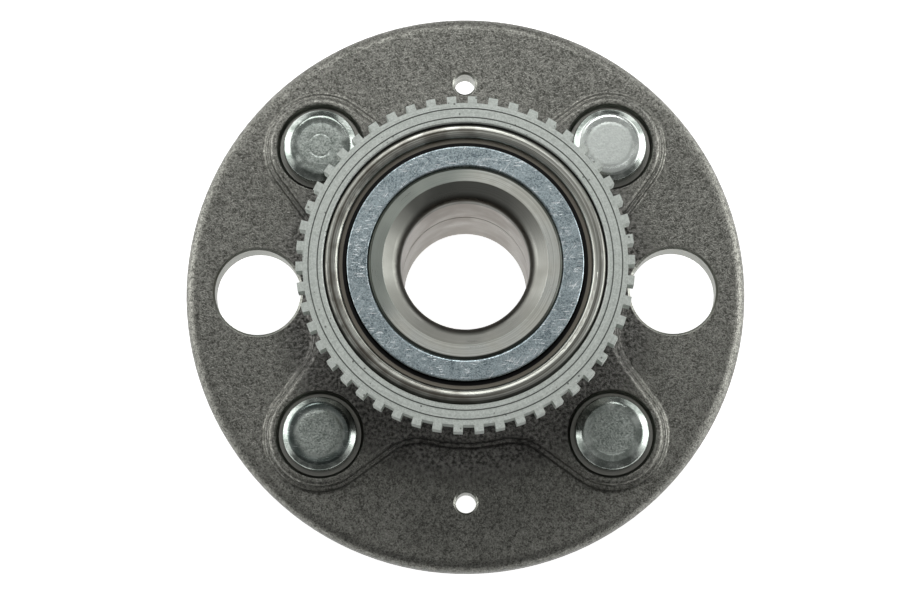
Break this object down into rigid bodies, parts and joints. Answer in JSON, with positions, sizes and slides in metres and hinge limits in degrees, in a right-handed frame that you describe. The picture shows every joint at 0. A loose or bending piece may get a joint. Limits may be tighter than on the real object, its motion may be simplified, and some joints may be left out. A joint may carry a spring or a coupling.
{
  "type": "wheel hub bearing",
  "caption": "Flanged wheel hub on two rows of angular contact balls, with press-in wheel studs, lip seals and a toothed wheel speed ring at the inboard end of the barrel.",
  "frame": {"origin": "centre of the face that the brake disc rests on, on the spindle axis", "axes": "+Z along the spindle axis, inboard; +X through the two access holes, +Y through the two threaded screw holes"},
  "size_m": [0.137, 0.137, 0.0875],
  "materials": {
    "hub_forging": "shot-blasted forging, machined on its seats",
    "speed_ring_steel": "matt zinc-coated turned steel",
    "stud_zinc": "bright zinc plate on a forged head",
    "bearing_steel": "ground and turned bearing steel",
    "slinger_zinc": "bright zinc-coated sheet with a fine spangle",
    "case_steel": "plain pressed sheet steel",
    "seal_rubber": "black nitrile rubber",
    "cage_nylon": "natural glass-filled nylon",
    "ball_steel": "polished bearing balls"
  },
  "bodies": {
    "spindle_side": {"inner_ring_inboard": "bearing_steel", "inner_ring_outboard": "bearing_steel", "slinger_inboard": "slinger_zinc", "slinger_outboard": "slinger_zinc"},
    "hub": {"hub_flange": "hub_forging", "speed_ring": "speed_ring_steel", "wheel_stud_1": "stud_zinc", "wheel_stud_2": "stud_zinc", "wheel_stud_3": "stud_zinc", "wheel_stud_4": "stud_zinc", "seal_case_inboard": "case_steel", "seal_case_outboard": "case_steel", "seal_rubber_inboard": "seal_rubber", "seal_rubber_outboard": "seal_rubber"},
    "ball_row_inboard": {"cage_inboard": "cage_nylon", "ball_inboard_01": "ball_steel", "ball_inboard_02": "ball_steel", "ball_inboard_03": "ball_steel", "ball_inboard_04": "ball_steel", "ball_inboard_05": "ball_steel", "ball_inboard_06": "ball_steel", "ball_inboard_07": "ball_steel", "ball_inboard_08": "ball_steel", "ball_inboard_09": "ball_steel", "ball_inboard_10": "ball_steel", "ball_inboard_11": "ball_steel", "ball_inboard_12": "ball_steel", "ball_inboard_13": "ball_steel"},
    "ball_row_outboard": {"cage_outboard": "cage_nylon", "ball_outboard_01": "ball_steel", "ball_outboard_02": "ball_steel", "ball_outboard_03": "ball_steel", "ball_outboard_04": "ball_steel", "ball_outboard_05": "ball_steel", "ball_outboard_06": "ball_steel", "ball_outboard_07": "ball_steel", "ball_outboard_08": "ball_steel", "ball_outboard_09": "ball_steel", "ball_outboard_10": "ball_steel", "ball_outboard_11": "ball_steel", "ball_outboard_12": "ball_steel", "ball_outboard_13": "ball_steel"}
  },
  "joints": [
    {"name": "hub_spin", "type": "hinge", "parent": "spindle_side", "child": "hub", "pos_m": [0, 0, 0.029], "axis": [0, 0, 1], "continuous": true},
    {"name": "ball_row_inboard_spin", "type": "hinge", "parent": "spindle_side", "child": "ball_row_inboard", "pos_m": [0, 0, 0.0395], "axis": [0, 0, 1], "continuous": true},
    {"name": "ball_row_outboard_spin", "type": "hinge", "parent": "spindle_side", "child": "ball_row_outboard", "pos_m": [0, 0, 0.0185], "axis": [0, 0, 1], "continuous": true}
  ],
  "couplings": [
    {"joint": "ball_row_inboard_spin", "follows": "hub_spin", "ratio": 0.5786},
    {"joint": "ball_row_outboard_spin", "follows": "hub_spin", "ratio": 0.5786}
  ]
}
